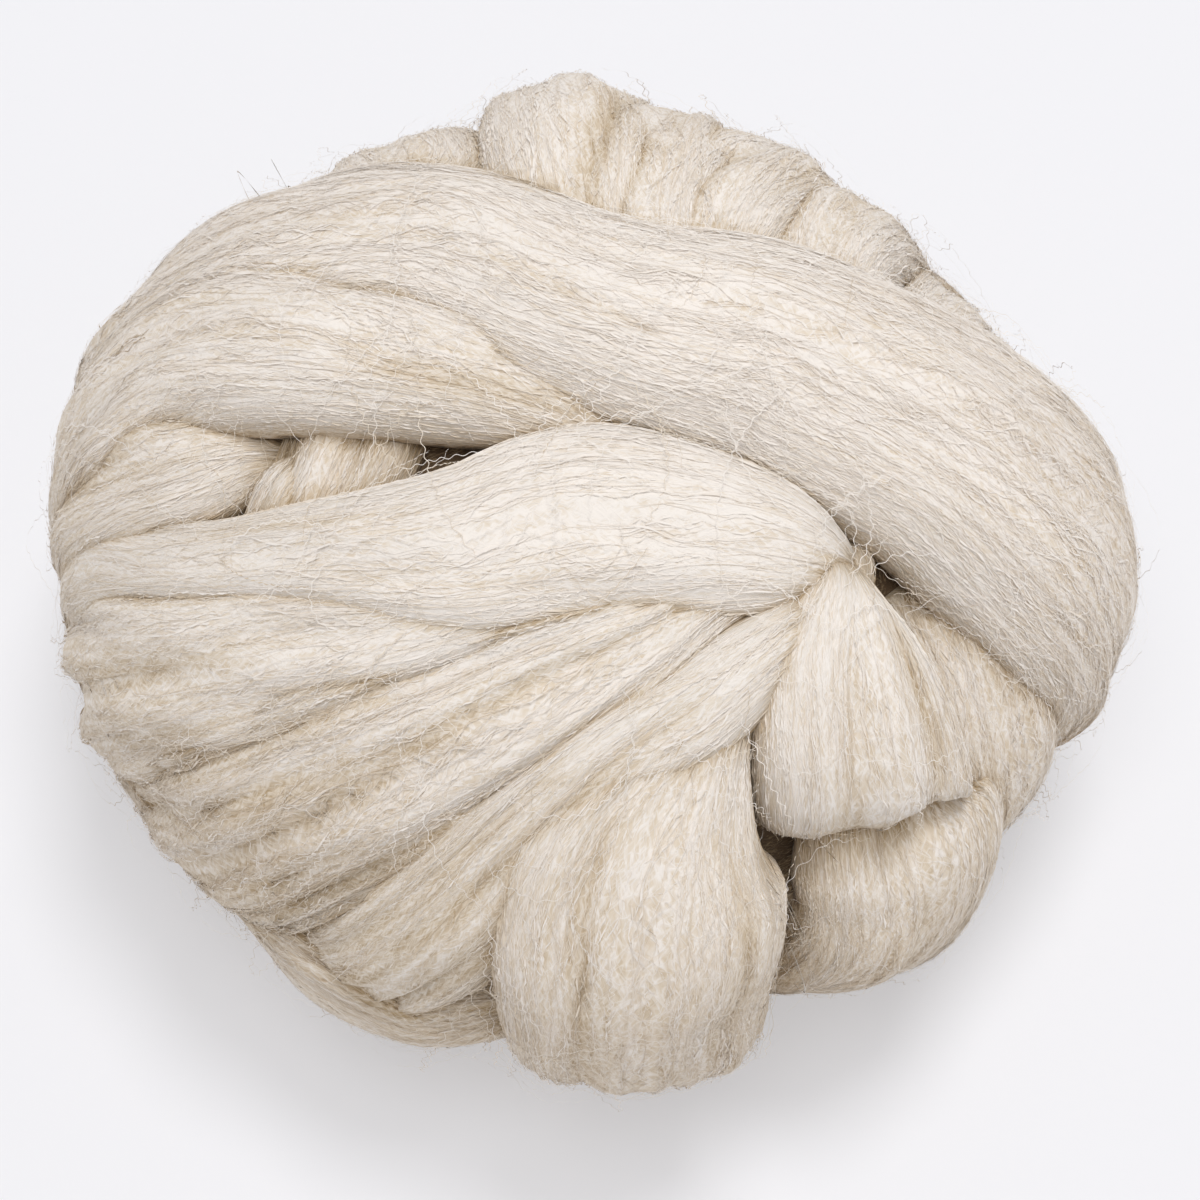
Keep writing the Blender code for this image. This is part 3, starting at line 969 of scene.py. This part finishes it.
combed("combed_fibres", 7, 14000, 6, (12, 34), 0.06, 0.4, 0.05, (0.08, 0.14), (-0.1, 1.0), False)
for part in range(2):
    combed(f"frizzy_fibres_{part + 1}", 11 + part, 9000, 23, (9, 15), 0.14, 0.5, 0.2, (0.07, 0.12),
           (0.1, 1.3), True)

# Crimped fibres that have worked loose and lie over the surface, across the laps' edges and gaps.
# Each is laid over the ball's outside through a few places found by rays cast inwards.
HOLDS = 6
REACH = 60 * MM
BARE_HEIGHT = 10 * MM


def loose(name, seed, number, steps, lengths, stray, above, wave, waves_deep, thickness, tones, fine):
    """Fibres that stray by `stray` radians from the laps' run, `above` them at the middle, mm."""
    random = np.random.default_rng(seed)
    which, along, angle = scattered(random, number, 0.2, 32 * MM)
    length = random.uniform(*lengths, number) * MM
    veer = random.normal(0, stray, number)
    bend = random.normal(0, stray, number) * 1.2
    t_holds = np.linspace(-0.5, 0.5, HOLDS)
    rows = np.empty((number, HOLDS, 3))
    share = np.empty(number)
    for i, lap in enumerate(laps):
        own = which == i
        start, normal = lap.surface(along[own], angle[own])
        near, _ = lap.surface(np.clip(along[own] + MM, 0, lap.length), angle[own])
        ahead = near - start
        ahead /= np.linalg.norm(ahead, axis=1, keepdims=True)
        side = np.cross(normal, ahead)
        for k, t in enumerate(t_holds):
            heading = veer[own] + bend[own] * t
            step = ahead * np.cos(heading)[:, None] + side * np.sin(heading)[:, None]
            rows[own, k] = start - CORE_AT + step * (t * length[own])[:, None]
        share[own] = openness(lap, along[own], angle[own])
    spots = on_core(rows)
    normals = out_of_core(spots)
    heights = np.empty((number, HOLDS))
    flat_spots, flat_normals = (spots + CORE_AT).reshape(-1, 3), normals.reshape(-1, 3)
    for n, (spot, normal) in enumerate(zip(flat_spots, flat_normals)):
        direction = Vector(normal)
        hit = ball.ray_cast(Vector(spot) + direction * REACH, -direction)
        heights.flat[n] = REACH - hit[3] if hit[0] is not None else BARE_HEIGHT
    smooth = heights.copy()
    smooth[:, 1:-1] = np.maximum(heights[:, 1:-1], (heights[:, :-2] + heights[:, 2:]) / 2)
    t = np.linspace(0, HOLDS - 1, steps)
    low = np.minimum(t.astype(int), HOLDS - 2)
    part = (t - low)[None, :, None]

    def curve(items):
        padded = np.concatenate((items[:, :1], items, items[:, -1:]), 1)
        p0, p1, p2, p3 = (padded[:, low + j] for j in range(4))
        return 0.5 * (2 * p1 + (p2 - p0) * part + (2 * p0 - 5 * p1 + 4 * p2 - p3) * part**2
                      + (3 * p1 - p0 - 3 * p2 + p3) * part**3)

    base = curve(on_core(spots))
    height = curve(smooth[..., None])[..., 0]
    hump = random.uniform(*above, number)[:, None] * MM * (0.25 + np.sin(np.linspace(0, math.pi, steps)))
    normal = out_of_core(base)
    ahead = np.gradient(base, axis=1)
    ahead /= np.linalg.norm(ahead, axis=-1, keepdims=True)
    side = np.cross(normal, ahead)
    far = np.linspace(0, 1, steps)[None] * length[:, None]
    phase = random.uniform(0, math.tau, (number, 3))
    pitch = random.uniform(0.85, 1.25, number)[:, None] * wave * MM
    depth = random.uniform(0.5, 1.2, number)[:, None] * waves_deep * MM
    swing = np.sin(far / pitch * math.tau + phase[:, :1] + 1.2 * np.sin(far / (7 * pitch) * math.tau))
    bob = np.cos(far / pitch * math.tau * 0.5 + phase[:, 1:2])
    slow = np.sin(far / (9 * MM) + phase[:, 2:])
    points = (base + normal * (height + hump + depth * 0.5 * bob)[..., None]
              + side * (depth * swing + 0.5 * MM * slow)[..., None] + CORE_AT)
    tone = random.uniform(*tones, number)
    # The loose fibres take the painted shade of the lap where they start, but never darker than a middle
    # share.
    fibres(name, points, side, normal, random.uniform(*thickness, number) * MM,
           np.repeat(np.maximum(share, 0.5)[:, None], steps, 1), tone, fine)


loose("crimped_fibres", 20, 2400, 60, (9, 22), 0.45, (0.05, 1.6), CRIMP / MM, 0.2, (0.08, 0.12),
      (0.4, 1.2), True)
loose("stray_fibres", 40, 520, 110, (20, 50), 0.9, (0.6, 4.5), 2.6, 0.4, (0.10, 0.16), (0.9, 1.5), False)
